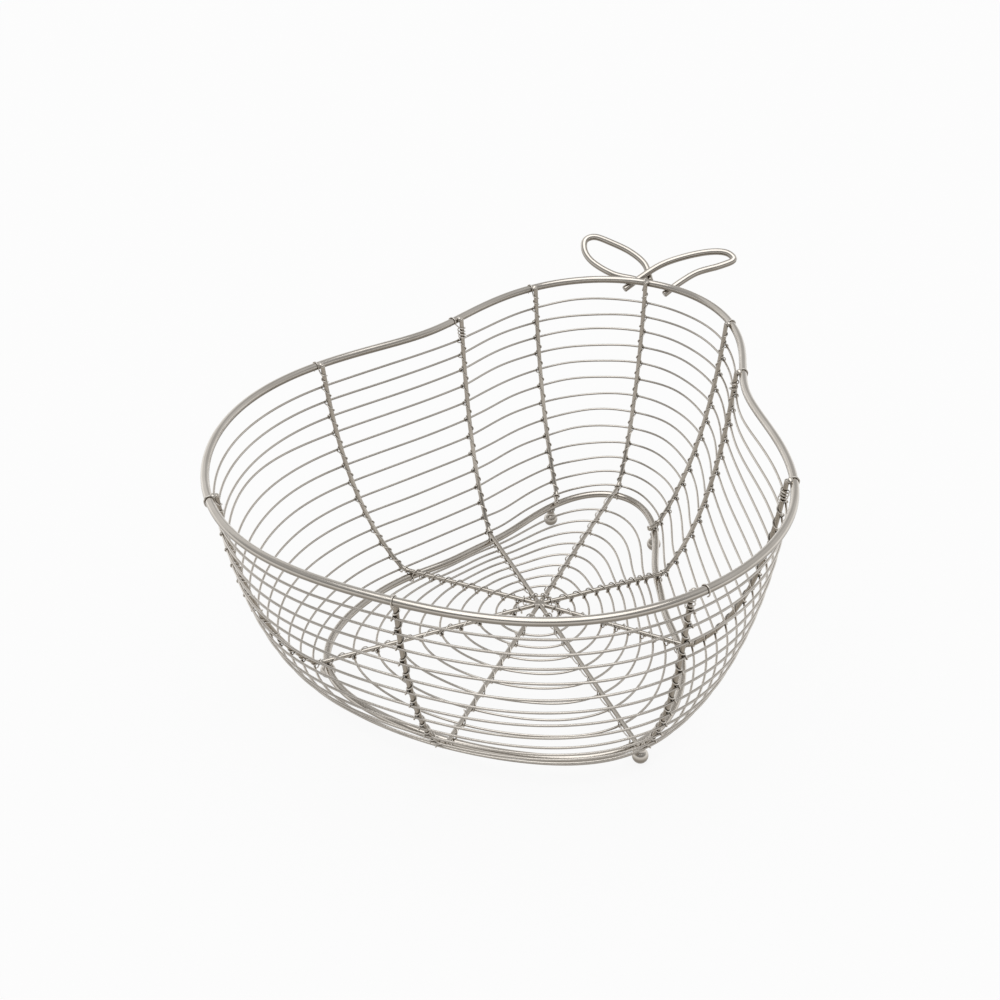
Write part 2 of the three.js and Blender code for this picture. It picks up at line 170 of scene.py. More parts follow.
# Leaves: slope and the place of their root on the rim in degrees, and points across and up the sloping plane
LEAF_SLOPE = 35.0
LEAF_ROOT = 4.0
RIGHT_LEAF = [
    (-13.4, -3.9), (-7, 4.7), (2.9, 16.1), (15.2, 24.2), (28.2, 29.8), (38, 31), (43.4, 27.2),
    (36.9, 21.8), (25.2, 15.1), (17.1, 6.5), (10.4, -2.8),
]
LEFT_LEAF = [
    (-1.4, 7), (-7.6, 17.1), (-18.6, 23.9), (-32.9, 28.4), (-43, 30.2), (-48, 26.6), (-45.5, 19),
    (-37.8, 12.5), (-24.1, 7.3), (-12, 6.4), (-3.6, 5.6),
]

# Welds: half sizes, and the place of those on the rim, as a share of the way from its middle to the rib's end and
# a drop
RIM_WELD = (1.75, 1.75, 1.5)
RIM_WELD_SHARE = 0.6
RIM_WELD_DROP = 0.1
HUB_WELD = (3.9, 3.4, 1.35)
HUB_WELD_MIDDLE = np.array([0.3, 0.4, -0.2])
HUB_WELD_SEED = 3

# Fineness of the meshes: points along the rings, spacing of points along the other wires and the least distance of two
# points on them, sides, and the bevel at cut ends
THICK_POINTS = 420
WALL_RING_POINTS = 300
FLOOR_RING_POINTS = 200
RIB_SPACING = 1.5
BINDING_SPACING = 0.36
LEAF_SPACING = 0.9
RIB_LEAST = 0.35
BINDING_LEAST = 0.25
FOOT_SIDES = 40
THICK_SIDES = 24
LEAF_SIDES = 20
RIB_SIDES = 16
RING_SIDES = 12
BINDING_SIDES = 8
CUT_BEVEL = 0.35
BINDING_BEVEL = 0.1

UP = np.array([0.0, 0.0, 1.0])
MM = 0.001
# Step over which slopes are taken, in radians or in t
SLOPE_STEP = 0.001


def seat(first, second, gap=GAP):
    """The distance between the middles of two wires that lie against each other."""
    return (first + second) / 2 + gap


RIM_SEAT = seat(RIB_WIRE, RIM_WIRE)
BASE_SEAT = seat(RIB_WIRE, BASE_WIRE)
RING_SEAT = seat(RIB_WIRE, RING_WIRE, RING_GAP)
LEAF_SEAT = seat(RIM_WIRE, LEAF_WIRE)
LEAF_CROSSING = seat(LEAF_WIRE, LEAF_WIRE)


def unit(vectors):
    return vectors / np.linalg.norm(vectors, axis=-1, keepdims=True)


def outline(reaches):
    """A closed outline through reaches at even steps from the stem to the front, and its mean."""
    last = len(reaches) - 1
    k = np.arange(last + 1)
    share = np.where((k == 0) | (k == last), 0.5, 1.0)
    waves = np.cos(np.outer(k, k) * math.pi / last)
    terms = (2 / last) * share * (waves @ (share * reaches))
    return lambda angle: np.cos(np.multiply.outer(angle, k)) @ terms, terms[0]


mouth_reach, mouth_mean = outline(MOUTH_PEAR * MOUTH_LENGTH)
floor_reach, floor_mean = outline(FLOOR_PEAR * FLOOR_LENGTH)
base_reach, base_mean = outline(FLOOR_PEAR * FLOOR_LENGTH - BASE_INSET)


def polar(reach, angle, z):
    return np.stack(np.broadcast_arrays(reach * np.sin(angle), reach * np.cos(angle), z), axis=-1)


def bow(t, pull):
    return 2 * t * (1 - t) * pull + t * t


def wall_point(angle, t):
    """A point on the wall's middle surface: t is 0 at the floor and 1 at the rim."""
    low = floor_reach(angle)
    reach = low + (mouth_reach(angle) - low) * bow(t, WALL_PULL_OUT)
    return polar(reach, angle, WALL_HEIGHT * bow(t, WALL_PULL_UP))


def wall_normal(angle, t):
    across = wall_point(angle + SLOPE_STEP, t) - wall_point(angle - SLOPE_STEP, t)
    upward = wall_point(angle, t + SLOPE_STEP) - wall_point(angle, t - SLOPE_STEP)
    return unit(np.cross(upward, across))


def wall_offset(angle, t, distance):
    return wall_point(angle, t) + wall_normal(angle, t) * distance


def rib_angle(rib, t):
    rim, low = np.radians(rib[0]), np.radians(rib[1])
    return low + (rim - low) * bow(t, WALL_PULL_OUT)


def wall_ring_steps():
    """The values of t at which the wall rings lie, from the rim down."""
    samples = 400
    t = np.arange(samples + 1) / samples
    across = (mouth_mean - floor_mean) * bow(t, WALL_PULL_OUT)
    rise = WALL_HEIGHT * bow(t, WALL_PULL_UP)
    lengths = np.concatenate([[0], np.cumsum(np.hypot(np.diff(across), np.diff(rise)))])
    share = np.arange(WALL_RINGS) / (WALL_RINGS - 1)
    crowded = share - RING_CROWDING * np.sin(2 * math.pi * share) / (2 * math.pi)
    top = lengths[-1] - RIM_TO_FIRST_RING
    wanted = top + (LAST_RING_TO_FLOOR - top) * crowded
    return np.searchsorted(lengths, wanted) / samples


RING_STEPS = wall_ring_steps()


def rim_point(angle):
    return wall_offset(angle, 1.0, RIM_SEAT)


def along_rim(angle, distance):
    per_angle = np.linalg.norm(rim_point(angle + SLOPE_STEP) - rim_point(angle)) / SLOPE_STEP
    return rim_point(angle + distance / per_angle)


def floor_ring_reach(ring, angle):
    outermost = base_mean - OUTER_RING_INSET
    mean = outermost + (INNER_RING_REACH - outermost) * ring / (FLOOR_RINGS - 1)
    pear = OUTER_RING_PEAR * mean / outermost
    return mean * (1 + (floor_reach(angle) / floor_mean - 1) * pear)


def wander(angles, ties, size, seed, first=None):
    """Uneven waves between the ties' angles, level at the ties. The first of them can have a height of its own."""
    draw = np.random.default_rng(seed)
    heights, leans = size * draw.uniform(-MOST_WANDER, MOST_WANDER, (2, len(ties)))
    if first is not None:
        heights[0] = first
    starts = np.sort(ties)
    ends = np.append(starts, starts[0] + 2 * math.pi)
    placed = (angles - starts[0]) % (2 * math.pi) + starts[0]
    span = np.clip(np.searchsorted(ends, placed, side="right") - 1, 0, len(ties) - 1)
    share = (placed - ends[span]) / (ends[span + 1] - ends[span])
    return np.sin(math.pi * share) ** 2 * (heights[span] + leans[span] * np.cos(math.pi * share))


def resample(points, spacing):
    """Points at even lengths along a smooth curve through the given ones."""
    points = np.asarray(points, float)
    ends = np.vstack([2 * points[0] - points[1], points, 2 * points[-1] - points[-2]])
    fine = []
    parts = 8
    u = (np.arange(parts) / parts)[:, None]
    for i in range(len(points) - 1):
        a, b, c, d = ends[i:i + 4]
        fine.append(0.5 * (2 * b + (c - a) * u + (2 * a - 5 * b + 4 * c - d) * u ** 2
                           + (3 * b - a - 3 * c + d) * u ** 3))
    fine = np.vstack(fine + [points[-1:]])
    lengths = np.concatenate([[0], np.cumsum(np.linalg.norm(np.diff(fine, axis=0), axis=1))])
    count = max(2, int(round(lengths[-1] / spacing)))
    wanted = np.linspace(0, lengths[-1], count + 1)
    return np.stack([np.interp(wanted, lengths, fine[:, k]) for k in range(3)], axis=1)


def place_in_frame():
    """The move from the hub's frame to the part's frame, from the CAD base ring's box."""
    low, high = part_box("base_ring")
    samples = 721
    angles = np.linspace(-math.pi, math.pi, samples)
    ring = polar(base_reach(angles), angles, -BASE_SEAT)
    middle = (ring.min(0) + ring.max(0)) / 2
    cad = (np.array(low) + np.array(high)) / 2 / MM
    return cad - middle


def smooth_mesh(name, vertices, faces, flat_faces, strand, uvs):
    """A piece in the part's frame. Strand gives each point's place along and across its wire, for the material."""
    mesh = bpy.data.meshes.new(name)
    mesh.from_pydata((vertices + SHIFT) * MM, [], faces)
    mesh.polygons.foreach_set("use_smooth", [not flat for flat in flat_faces])
    attribute = mesh.attributes.new("strand", "FLOAT_VECTOR", "POINT")
    attribute.data.foreach_set("vector", np.asarray(strand, np.float32).ravel())
    layer = mesh.uv_layers.new(name="UVMap")
    layer.data.foreach_set("uv", np.asarray(uvs, np.float32).ravel())
    mesh.validate()
    mesh.update()
    piece = bpy.data.objects.new(name, mesh)
    bpy.context.scene.collection.objects.link(piece)
    return piece


def tube(name, points, radius, sides, closed=False, bevel=0.0):
    """A round wire through points, with chamfered flat ends where it is open."""
    points = np.asarray(points, float)
    radii = np.full(len(points), radius)
    if not closed and bevel > 0:
        first = points[0] + unit(points[1] - points[0]) * bevel
        last = points[-1] + unit(points[-2] - points[-1]) * bevel
        points = np.vstack([points[:1], first, points[1:-1], last, points[-1:]])
        radii = np.concatenate([[radii[0] - bevel], radii[:1], radii[1:-1], radii[-1:], [radii[-1] - bevel]])
    count = len(points)
    if closed:
        tangents = unit(np.roll(points, -1, axis=0) - np.roll(points, 1, axis=0))
    else:
        tangents = np.empty_like(points)
        tangents[1:-1] = points[2:] - points[:-2]
        tangents[0] = points[1] - points[0]
        tangents[-1] = points[-1] - points[-2]
        tangents = unit(tangents)
    steep = 0.8
    normal = UP if abs(tangents[0][2]) < steep else np.array([1.0, 0, 0])
    normals = np.empty_like(points)
    for i in range(count):
        normal = normal - tangents[i] * normal.dot(tangents[i])
        normal = normal / np.linalg.norm(normal)
        normals[i] = normal
    if closed:
        end = normals[-1] - tangents[0] * normals[-1].dot(tangents[0])
        end = end / np.linalg.norm(end)
        twist = math.atan2(np.cross(end, normals[0]).dot(tangents[0]), end.dot(normals[0]))
    else:
        twist = 0.0
    binormals = np.cross(tangents, normals)
    turn = 2 * math.pi * np.arange(sides) / sides
    angle = turn[None, :] + twist * np.arange(count)[:, None] / count
    cos, sin = np.cos(angle)[..., None], np.sin(angle)[..., None]
    rings = points[:, None] + radii[:, None, None] * (normals[:, None] * cos + binormals[:, None] * sin)
    lengths = np.concatenate([[0], np.cumsum(np.linalg.norm(np.diff(points, axis=0), axis=1))])
    strand = np.empty((count, sides, 3))
    strand[..., 0] = lengths[:, None] * MM
    strand[..., 1] = np.cos(turn)[None] * radii[:, None] * MM
    strand[..., 2] = np.sin(turn)[None] * radii[:, None] * MM
    vertices = rings.reshape(-1, 3)
    strand = strand.reshape(-1, 3)
    faces, flat, uvs = [], [], []
    spans = count if closed else count - 1
    length_uv = np.append(lengths, lengths[-1] + np.linalg.norm(points[0] - points[-1])) * MM
    for i in range(spans):
        near, far = i * sides, ((i + 1) % count) * sides
        low, high = length_uv[i], length_uv[i + 1]
        for j in range(sides):
            k = (j + 1) % sides
            faces.append((near + j, near + k, far + k, far + j))
            flat.append(False)
            v0, v1 = j / sides, (j + 1) / sides
            uvs += [(low, v0), (low, v1), (high, v1), (high, v0)]
    if not closed:
        foot = (count - 1) * sides
        faces.append(tuple(range(sides - 1, -1, -1)))
        faces.append(tuple(range(foot, foot + sides)))
        flat += [True, True]
        uvs += [(0.5 + 0.5 * math.cos(a), 0.5 + 0.5 * math.sin(a)) for a in turn[::-1]]
        uvs += [(0.5 + 0.5 * math.cos(a), 0.5 + 0.5 * math.sin(a)) for a in turn]
    return smooth_mesh(name, vertices, faces, flat, strand, uvs)


def turned(name, profile, segments, middle):
    """A solid turned about its own upright axis from (reach, height) pairs that start and end on it."""
    vertices, faces, uvs = [], [], []
    inner = profile[1:-1]
    for reach, height in inner:
        for j in range(segments):
            angle = 2 * math.pi * j / segments
            vertices.append((reach * math.cos(angle), reach * math.sin(angle), height))
    low, high = len(vertices), len(vertices) + 1
    vertices += [(0, 0, profile[0][1]), (0, 0, profile[-1][1])]
    for i in range(len(inner) - 1):
        for j in range(segments):
            k = (j + 1) % segments
            faces.append((i * segments + j, i * segments + k, (i + 1) * segments + k, (i + 1) * segments + j))
            uvs += [(j / segments, i), ((j + 1) / segments, i), ((j + 1) / segments, i + 1), (j / segments, i + 1)]
    top = (len(inner) - 1) * segments
    for j in range(segments):
        k = (j + 1) % segments
        faces.append((low, k, j))
        faces.append((high, top + j, top + k))
        uvs += [(0.5, 0), ((j + 1) / segments, 0), (j / segments, 0)]
        uvs += [(0.5, 1), (j / segments, 1), ((j + 1) / segments, 1)]
    vertices = np.array(vertices, float)
    strand = vertices[:, [2, 0, 1]] * MM
    return smooth_mesh(name, vertices + middle, faces, [False] * len(faces), strand, uvs)


def nugget(name, middle, sizes, seed):
    """A weld: an uneven rounded lump with the given half sizes."""
    rows, columns = 11, 20
    lumps, lump_pitch, lump_height = 6, 2.2, 0.06
    draw = np.random.default_rng(seed)
    waves = draw.normal(size=(lumps, 3)) * lump_pitch
    phases = draw.uniform(0, 2 * math.pi, lumps)
    balls = [(0.0, 0.0, -1.0), (0.0, 0.0, 1.0)]
    for i in range(1, rows):
        lift = math.pi * i / rows - math.pi / 2
        for j in range(columns):
            turn = 2 * math.pi * j / columns
            balls.append((math.cos(lift) * math.cos(turn), math.cos(lift) * math.sin(turn), math.sin(lift)))
    balls = np.array(balls)
    swell = 1 + lump_height * np.sin(balls @ waves.T + phases).sum(axis=1)
    vertices = balls * swell[:, None] * np.array(sizes)
    faces, uvs = [], []
    top = 2 + (rows - 2) * columns
    for j in range(columns):
        k = (j + 1) % columns
        u0, u1 = j / columns, (j + 1) / columns
        faces += [(0, 2 + k, 2 + j), (1, top + j, top + k)]
        uvs += [(u0, 0), (u1, 1 / rows), (u0, 1 / rows), (u0, 1), (u0, 1 - 1 / rows), (u1, 1 - 1 / rows)]
        for i in range(rows - 2):
            near, far = 2 + i * columns, 2 + (i + 1) * columns
            faces.append((near + j, near + k, far + k, far + j))
            v0, v1 = (i + 1) / rows, (i + 2) / rows
            uvs += [(u0, v0), (u1, v0), (u1, v1), (u0, v1)]
    return smooth_mesh(name, vertices + middle, faces, [False] * len(faces), vertices * MM, uvs)


SHIFT = place_in_frame()


# Nodes that several materials use

def map_range(tree, value, low, high, at_low=0.0, at_high=1.0, shape="LINEAR"):
    """A level that goes from at_low to at_high while the value goes from low to high."""
    node = tree.nodes.new("ShaderNodeMapRange")
    node.interpolation_type = shape
    for name, level in (("From Min", low), ("From Max", high), ("To Min", at_low), ("To Max", at_high)):
        node.inputs[name].default_value = level
    tree.links.new(value, node.inputs["Value"])
    return node.outputs["Result"]


def noise(tree, place, scale, detail):
    node = tree.nodes.new("ShaderNodeTexNoise")
    node.inputs["Scale"].default_value = scale
    node.inputs["Detail"].default_value = detail
    tree.links.new(place, node.inputs["Vector"])
    return node.outputs["Fac"]


def colour_ramp(tree, value, first, last, interpolation="LINEAR"):
    """A colour between two (position, colour) pairs."""
    node = tree.nodes.new("ShaderNodeValToRGB")
    node.color_ramp.interpolation = interpolation
    for element, (position, colour) in zip(node.color_ramp.elements, (first, last)):
        element.position = position
        element.color = (*colour, 1.0)
    tree.links.new(value, node.inputs["Fac"])
    return node.outputs["Color"]


def multiplied(tree, first, second):
    node = tree.nodes.new("ShaderNodeMix")
    node.data_type = "RGBA"
    node.blend_type = "MULTIPLY"
    node.inputs["Factor"].default_value = 1.0
    tree.links.new(first, node.inputs["A"])
    tree.links.new(second, node.inputs["B"])
    return node.outputs["Result"]


# Satin nickel, drawn wire: fine streaks along the wire, cloudy plating, and painted shade that darkens the colour
# where wires meet and on the undersides. Lengths in these nodes are in metres.
METAL_IOR = 1.9
STREAK_SCALE = (35.0, 1800.0, 1800.0)
STREAK_DETAIL = 3.0
STREAK_DEPTH = 0.00006
CLOUD_SCALE = 55.0
CLOUD_DETAIL = 4.0
NOISE_RANGE = (0.3, 0.7)
ROUGHNESS_SPREAD = 0.06
CREVICE_REACH = 0.0016
CREVICE_SAMPLES = 6
CREVICE_RANGE = (0.25, 0.9)
UNDERSIDE_RANGE = (-0.15, 0.6)
UNDERSIDE_SHADE_TINT = (1.0, 0.94, 0.86)
WHITE = (1.0, 1.0, 1.0)


def satin_nickel(name, pale, dull, roughness, streak, crevice_shade_level, underside):
    """The last two arguments are what is left of the colour under the painted shade in crevices and on the undersides.
    """
    material = bpy.data.materials.new(name)
    material.use_nodes = True
    tree = material.node_tree
    nodes, links = tree.nodes, tree.links
    shader = nodes["Principled BSDF"]
    shader.inputs["Metallic"].default_value = 1.0
    shader.inputs["IOR"].default_value = METAL_IOR
    strand = nodes.new("ShaderNodeAttribute")
    strand.attribute_name = "strand"
    stretch = nodes.new("ShaderNodeMapping")
    stretch.inputs["Scale"].default_value = STREAK_SCALE
    links.new(strand.outputs["Vector"], stretch.inputs["Vector"])
    lines = noise(tree, stretch.outputs["Vector"], 1.0, STREAK_DETAIL)
    place = nodes.new("ShaderNodeTexCoord")
    cloud = noise(tree, place.outputs["Object"], CLOUD_SCALE, CLOUD_DETAIL)
    plating = colour_ramp(tree, cloud, *zip(NOISE_RANGE, (dull, pale)))
    # Painted shade: ambient occlusion darkens the colour where wires lie close together, in crevices and where they
    # meet.
    crevice = nodes.new("ShaderNodeAmbientOcclusion")
    crevice.samples = CREVICE_SAMPLES
    crevice.inputs["Distance"].default_value = CREVICE_REACH
    crevice_shade = map_range(tree, crevice.outputs["AO"], *CREVICE_RANGE, crevice_shade_level, 1.0)
    # Painted shade: the colour darkens, with a warm tint, on faces that point downwards.
    side_on = nodes.new("ShaderNodeSeparateXYZ")
    links.new(place.outputs["Normal"], side_on.inputs["Vector"])
    upward = map_range(tree, side_on.outputs["Z"], *UNDERSIDE_RANGE)
    dark = [underside * part for part in UNDERSIDE_SHADE_TINT]
    underside_shade = colour_ramp(tree, upward, (0.0, dark), (1.0, WHITE), "EASE")
    links.new(multiplied(tree, plating, multiplied(tree, crevice_shade, underside_shade)), shader.inputs["Base Color"])
    rough = map_range(tree, lines, *NOISE_RANGE, roughness - ROUGHNESS_SPREAD, roughness + ROUGHNESS_SPREAD)
    links.new(rough, shader.inputs["Roughness"])
    bump = nodes.new("ShaderNodeBump")
    bump.inputs["Strength"].default_value = streak
    bump.inputs["Distance"].default_value = STREAK_DEPTH
    links.new(lines, bump.inputs["Height"])
    links.new(bump.outputs["Normal"], shader.inputs["Normal"])
    return material


# In each material the last two values set its painted shade: how much colour is left in crevices and on the
# undersides.
THICK = satin_nickel(
    "thick_nickel", pale=(0.71, 0.667, 0.61), dull=(0.63, 0.587, 0.53),
    roughness=0.15, streak=0.5, crevice_shade_level=0.6, underside=0.34,
)
RIB = satin_nickel(
    "rib_nickel", pale=(0.64, 0.597, 0.538), dull=(0.555, 0.515, 0.46),
    roughness=0.18, streak=0.5, crevice_shade_level=0.5, underside=0.5,
)
RING = satin_nickel(
    "ring_nickel", pale=(0.78, 0.733, 0.672), dull=(0.69, 0.645, 0.586),
    roughness=0.14, streak=0.4, crevice_shade_level=0.6, underside=0.28,
)
BINDING = satin_nickel(
    "binding_nickel", pale=(0.82, 0.778, 0.72), dull=(0.74, 0.698, 0.64),
    roughness=0.16, streak=0.3, crevice_shade_level=0.7, underside=0.5,
)


def settle(piece, material, slot, *nodes):
    """Gives a piece its material, puts it on the root body and hides the CAD nodes that it stands for. Slot is not
    used.
    """
    piece.data.materials.append(material)
    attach(piece, "root")
    if nodes:
        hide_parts(*nodes)


# Rim and base ring

def full_turn(count):
    return -math.pi + 2 * math.pi * np.arange(count) / count


round_angles = full_turn(THICK_POINTS)
rim = tube("rim_wire", rim_point(round_angles), RIM_WIRE / 2, THICK_SIDES, closed=True)
settle(rim, THICK, "thick_nickel", "rim_ring")
base_points = polar(base_reach(round_angles), round_angles, -BASE_SEAT)
base = tube("base_wire", base_points, BASE_WIRE / 2, THICK_SIDES, closed=True)
settle(base, THICK, "thick_nickel", "base_ring")


# Ball feet: a ball with a flat, a waist and a weld collar against the base ring

def foot_profile():
    """Pairs of reach and height above the ball's middle, from the flat to the top of the collar."""
    ball, neck = FOOT_BALL / 2, FOOT_NECK / 2
    flat_height = FOOT_FLAT - ball
    flat_edge = math.asin(flat_height / ball)
    flat_reach = ball * math.cos(flat_edge)
    arc_start, arc_end = flat_edge + ARC_GAPS[0], math.acos(neck / ball) - ARC_GAPS[1]
    arc_points = 22
    top = ball + FOOT_NECK_RISE + GAP
    flat = [(flat_reach * share, flat_height) for share in FLAT_SHARES]
    arc = [(ball * math.cos(rise), ball * math.sin(rise)) for rise in np.linspace(arc_start, arc_end, arc_points)]
    waist = [(neck * share, ball * rise) for share, rise in FOOT_WAIST]
    collar = [(neck * share, top - below) for share, below in FOOT_COLLAR]
    return flat + arc + waist + collar


for node, degrees in FEET.items():
    angle = math.radians(degrees)
    x, y, _ = polar(base_reach(angle), angle, 0.0)
    middle_z = -BASE_SEAT - BASE_WIRE / 2 - GAP - FOOT_NECK_RISE - FOOT_BALL / 2
    foot = turned(node + "_ball", foot_profile(), FOOT_SIDES, np.array([x, y, middle_z]))
    settle(foot, THICK, "thick_nickel", node)


# Ribs

def rib_path(rib, spacing):
    """Points of a rib from its end at the hub or its tail to the rim, and the direction of the rings from it."""
    bend_steps, wall_steps = 8, 180
    angle = math.radians(rib[1])
    reach = float(floor_reach(angle))
    run = float(mouth_reach(angle)) - reach
    bend_top = RIB_BEND / (2 * math.hypot(run * WALL_PULL_OUT, WALL_HEIGHT * WALL_PULL_UP))
    start = reach - SHORT_RIB_TAIL if rib[3] == 0 else HUB_END
    foot = reach - RIB_BEND
    floor_steps = max(2, int((foot - start) / spacing))
    floor_reaches = start + (foot - start) * np.arange(floor_steps) / floor_steps
    points = [polar(floor_reaches, angle, 0.0)]
    outs = [np.tile(-UP, (floor_steps, 1))]
    corner = wall_point(angle, 0.0)
    head = wall_point(rib_angle(rib, bend_top), bend_top)
    head_out = wall_normal(rib_angle(rib, bend_top), bend_top)
    u = (np.arange(bend_steps) / bend_steps)[:, None]
    bend_foot = polar(foot, angle, 0.0)
    points.append((1 - u) ** 2 * bend_foot + 2 * u * (1 - u) * corner + u ** 2 * head)
    outs.append(unit(-UP * (1 - u) + head_out * u))
    t = bend_top + (1 - bend_top) * np.arange(wall_steps + 1) / wall_steps
    angles = rib_angle(rib, t)
    points.append(wall_point(angles, t))
    outs.append(wall_normal(angles, t))
    return np.vstack(points), np.vstack(outs)


def rib_wire(name):
    """Points of a rib with its cut end above the rim's middle, or below it for a low rib."""
    least_step = 0.3
    points, _ = rib_path(RIBS[name], RIB_SPACING)
    rise = unit(points[-1] - points[-2])
    if name in LOW_RIBS:
        below = np.linalg.norm(points - points[-1], axis=1) > LOW_RIB_BELOW_RIM + least_step
        return np.vstack([points[below], points[-1] - rise * LOW_RIB_BELOW_RIM])
    return np.vstack([points, points[-1] + rise * RIB_ABOVE_RIM])


def clean(points, least=RIB_LEAST):
    """The points without those that lie closer than the least distance to the one before."""
    kept = [points[0]]
    for point in points[1:-1]:
        if np.linalg.norm(point - kept[-1]) >= least:
            kept.append(point)
    kept.append(points[-1])
    return np.array(kept)


through = np.vstack([rib_wire(THROUGH_ARMS[0])[::-1], rib_wire(THROUGH_ARMS[1])])
through_wire = tube("rib_through_wire", clean(through), RIB_WIRE / 2, RIB_SIDES, bevel=CUT_BEVEL)
settle(through_wire, RIB, "rib_nickel", "rib_" + "_to_".join(THROUGH_ARMS))
for name in RIBS:
    if name not in THROUGH_ARMS:
        piece = tube(f"rib_{name}_wire", clean(rib_wire(name)), RIB_WIRE / 2, RIB_SIDES, bevel=CUT_BEVEL)
        settle(piece, RIB, "rib_nickel", f"rib_{name}")

# Welds that hold the ribs' ends on the rim
for name, rib in RIBS.items():
    rim_middle = rim_point(np.radians(rib[0]))
    end = rib_wire(name)[-1]
    middle = end * RIM_WELD_SHARE + rim_middle * (1 - RIM_WELD_SHARE) - UP * RIM_WELD_DROP
    settle(nugget(f"rim_weld_{name}", middle, RIM_WELD, len(name)), THICK, "thick_nickel")


# Wall rings and floor rings

def wall_ring_points(ring, t, angles):
    ties = np.array([rib_angle(rib, t) for rib in RIBS.values()])
    rise_per_t = np.linalg.norm(wall_point(angles, t + SLOPE_STEP) - wall_point(angles, t), axis=-1) / SLOPE_STEP
    waves = wander(angles, ties, WALL_RING_WANDER, ring, BENT_RINGS.get(ring))
    points = wall_offset(angles, t + waves / rise_per_t, RING_SEAT)
    for (start, end), (straight, first_straight) in STRAIGHT_SPANS.items():
        low, high = rib_angle(RIBS[start], t), rib_angle(RIBS[end], t)
        first, last = wall_offset(low, t, RING_SEAT), wall_offset(high, t, RING_SEAT)
        within = (angles > low) & (angles < high)
        across = ((angles[within] - low) / (high - low))[:, None]
        drawn = straight if ring >= first_straight else straight * (ring / first_straight - LESS_STRAIGHT)
        points[within] += drawn * (first + (last - first) * across - points[within])
    return points


for i, t in enumerate(RING_STEPS):
    points = wall_ring_points(i + 1, t, full_turn(WALL_RING_POINTS))
    piece = tube(f"wall_ring_{i + 1}_wire", points, RING_WIRE / 2, RING_SIDES, closed=True)
    settle(piece, RING, "ring_nickel", f"wall_ring_{i + 1}")


def floor_ring_points(ring, angles):
    ties = np.radians([rib[1] for rib in RIBS.values() if rib[3]])
    reach = floor_ring_reach(ring, angles)
    calm = np.minimum(1, reach / floor_mean)
    waves = wander(angles, ties, FLOOR_RING_WANDER, FLOOR_RING_SEED + ring)
    points = polar(reach + calm * waves, angles, -RING_SEAT)
    points[..., 1] -= FLOOR_RING_SHIFT
    return points


for ring in range(FLOOR_RINGS):
    points = floor_ring_points(ring, full_turn(FLOOR_RING_POINTS))
    piece = tube(f"floor_ring_{ring + 1}_wire", points, RING_WIRE / 2, RING_SIDES, closed=True)
    settle(piece, RING, "ring_nickel", f"floor_ring_{ring + 1}")


# Binding wires: a loop over the rim beside the rib, close turns below it, then one turn from ring to ring. It
# holds each ring at the rib's edge, crosses the rib's inner side on its way down and comes round its outer side.

